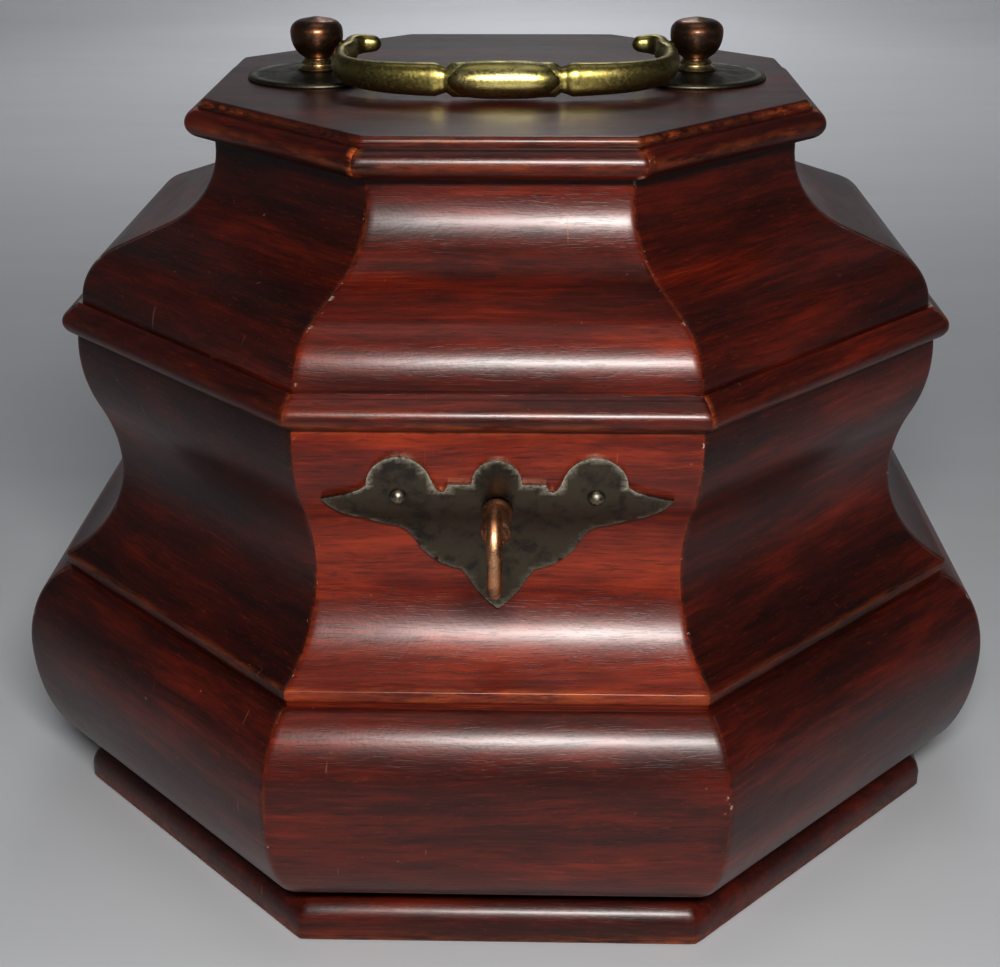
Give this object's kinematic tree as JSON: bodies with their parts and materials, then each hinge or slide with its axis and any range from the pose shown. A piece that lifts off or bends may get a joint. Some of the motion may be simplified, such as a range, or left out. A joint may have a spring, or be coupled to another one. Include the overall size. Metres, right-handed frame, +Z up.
{
  "type": "tea caddy",
  "caption": "Octagonal swelling wooden tea caddy with a domed hinged lid, drop handle, escutcheon, box lock and key.",
  "frame": {"origin": "middle of the flat underside of the base board", "axes": "+Z up; the lock and key face -Y, the hinges are on the +Y side, the handle posts lie along X"},
  "size_m": [0.23, 0.2375, 0.183],
  "materials": {
    "mahogany": "gloss polish",
    "bail_brass": "worn olive patina",
    "dark_brass": "dark patina",
    "brown_brass": "brown patina",
    "key_brass": "worn",
    "fitting_brass": "dull",
    "steel": "dull"
  },
  "bodies": {
    "caddy_body": {"base_board": "mahogany", "bottom_board": "mahogany", "belly_stave_front": "mahogany", "belly_stave_front_right": "mahogany", "belly_stave_right": "mahogany", "belly_stave_back_right": "mahogany", "belly_stave_back": "mahogany", "belly_stave_back_left": "mahogany", "belly_stave_left": "mahogany", "belly_stave_front_left": "mahogany", "waist_stave_front": "mahogany", "waist_stave_front_right": "mahogany", "waist_stave_right": "mahogany", "waist_stave_back_right": "mahogany", "waist_stave_back": "mahogany", "waist_stave_back_left": "mahogany", "waist_stave_left": "mahogany", "waist_stave_front_left": "mahogany", "escutcheon": "dark_brass", "escutcheon_pins": "fitting_brass", "lock_plate": "fitting_brass", "lock_case": "fitting_brass", "lock_studs": "steel", "lock_spring": "steel", "lock_screws": "fitting_brass", "hinge_leaves_body": "fitting_brass", "hinge_pins": "steel", "hinge_screws_body": "fitting_brass"},
    "lid": {"lid_rim_front": "mahogany", "lid_rim_front_right": "mahogany", "lid_rim_right": "mahogany", "lid_rim_back_right": "mahogany", "lid_rim_back": "mahogany", "lid_rim_back_left": "mahogany", "lid_rim_left": "mahogany", "lid_rim_front_left": "mahogany", "dome_stave_front": "mahogany", "dome_stave_front_right": "mahogany", "dome_stave_right": "mahogany", "dome_stave_back_right": "mahogany", "dome_stave_back": "mahogany", "dome_stave_back_left": "mahogany", "dome_stave_left": "mahogany", "dome_stave_front_left": "mahogany", "top_moulding": "mahogany", "top_board": "mahogany", "rosette_left": "dark_brass", "rosette_right": "dark_brass", "post_left": "brown_brass", "post_right": "brown_brass", "post_washers": "fitting_brass", "post_nuts": "fitting_brass", "keeper": "fitting_brass", "keeper_screws": "fitting_brass", "hinge_leaves_lid": "fitting_brass", "hinge_screws_lid": "fitting_brass"},
    "bail": {"bail": "bail_brass"},
    "bolt": {"lock_bolt": "fitting_brass"},
    "key": {"key": "key_brass"}
  },
  "joints": [
    {"name": "lid_hinge", "type": "hinge", "parent": "caddy_body", "child": "lid", "pos_m": [0, 0.1018, 0.11865], "axis": [-1, 0, 0], "range_deg": [0, 100]},
    {"name": "bail_swing", "type": "hinge", "parent": "lid", "child": "bail", "pos_m": [0, 0, 0.1764], "axis": [-1, 0, 0], "range_deg": [0, 190]},
    {"name": "key_turn", "type": "hinge", "parent": "caddy_body", "child": "key", "pos_m": [0, -0.09, 0.1016], "axis": [0, 1, 0], "range_deg": [0, 180]},
    {"name": "bolt_slide", "type": "slide", "parent": "caddy_body", "child": "bolt", "axis": [1, 0, 0], "range_m": [0, 0.005]}
  ],
  "couplings": [
    {"joint": "bolt_slide", "follows": "key_turn", "m_per_rad": 0.0015915}
  ]
}
